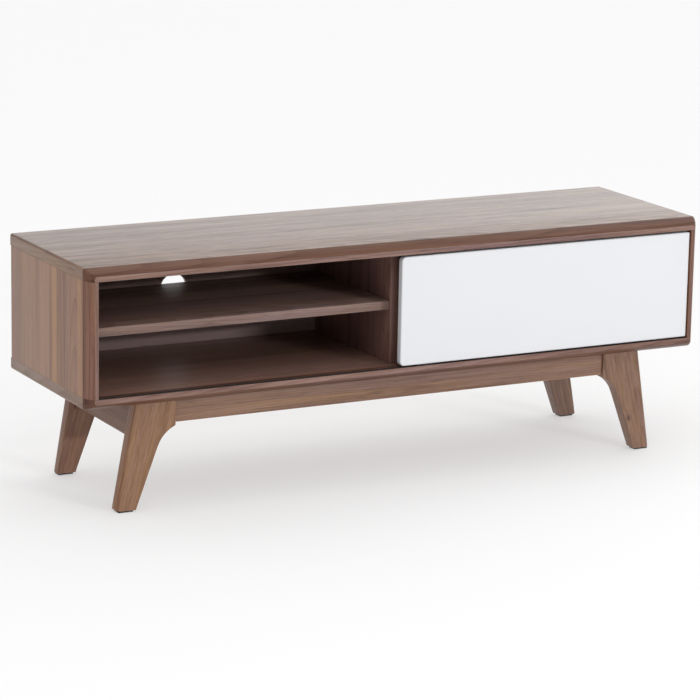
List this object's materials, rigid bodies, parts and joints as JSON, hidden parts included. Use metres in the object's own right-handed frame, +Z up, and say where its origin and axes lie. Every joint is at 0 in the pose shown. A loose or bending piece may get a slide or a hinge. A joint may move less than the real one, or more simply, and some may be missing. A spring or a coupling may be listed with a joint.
{
  "type": "media console",
  "caption": "Low wooden media console with an open shelved niche, one sliding door and a splayed leg frame.",
  "frame": {"origin": "on the floor under the middle of the cabinet's footprint", "axes": "+Z up, +X along the cabinet's width towards the door's closed end, -Y towards the front"},
  "size_m": [1.4, 0.4, 0.503],
  "materials": {
    "walnut_veneer": "satin",
    "walnut_solid": "satin",
    "block_wood": "matte",
    "white_lacquer": "satin",
    "black_plastic": "matte",
    "nylon": "matte",
    "zinc_steel": "satin"
  },
  "bodies": {
    "cabinet": {"top_board": "walnut_veneer", "bottom_board": "walnut_veneer", "left_side_board": "walnut_veneer", "right_side_board": "walnut_veneer", "divider": "walnut_veneer", "back_panel": "walnut_veneer", "niche_shelf": "walnut_veneer", "front_left_leg": "walnut_solid", "front_right_leg": "walnut_solid", "rear_left_leg": "walnut_solid", "rear_right_leg": "walnut_solid", "front_apron": "walnut_solid", "rear_apron": "walnut_solid", "left_side_rail": "walnut_solid", "right_side_rail": "walnut_solid", "front_left_corner_block": "block_wood", "front_right_corner_block": "block_wood", "rear_left_corner_block": "block_wood", "rear_right_corner_block": "block_wood", "front_left_foot_pad": "black_plastic", "front_right_foot_pad": "black_plastic", "rear_left_foot_pad": "black_plastic", "rear_right_foot_pad": "black_plastic", "lower_track": "black_plastic", "upper_track": "black_plastic", "front_left_frame_screw": "zinc_steel", "front_right_frame_screw": "zinc_steel", "rear_left_frame_screw": "zinc_steel", "rear_right_frame_screw": "zinc_steel", "panel_screw_1": "zinc_steel", "panel_screw_2": "zinc_steel", "panel_screw_3": "zinc_steel", "panel_screw_4": "zinc_steel", "panel_screw_5": "zinc_steel", "panel_screw_6": "zinc_steel", "panel_screw_7": "zinc_steel", "panel_screw_8": "zinc_steel", "panel_screw_9": "zinc_steel", "panel_screw_10": "zinc_steel", "panel_screw_11": "zinc_steel", "panel_screw_12": "zinc_steel", "panel_screw_13": "zinc_steel", "panel_screw_14": "zinc_steel", "shelf_pin_front_left": "zinc_steel", "shelf_pin_front_right": "zinc_steel", "shelf_pin_rear_left": "zinc_steel", "shelf_pin_rear_right": "zinc_steel"},
    "door": {"sliding_door": "white_lacquer", "lower_glide_left": "nylon", "lower_glide_right": "nylon", "upper_guide_left": "nylon", "upper_guide_right": "nylon"}
  },
  "joints": [
    {"name": "door_slide", "type": "slide", "parent": "cabinet", "child": "door", "axis": [1, 0, 0], "range_m": [-0.6615, 0]}
  ]
}
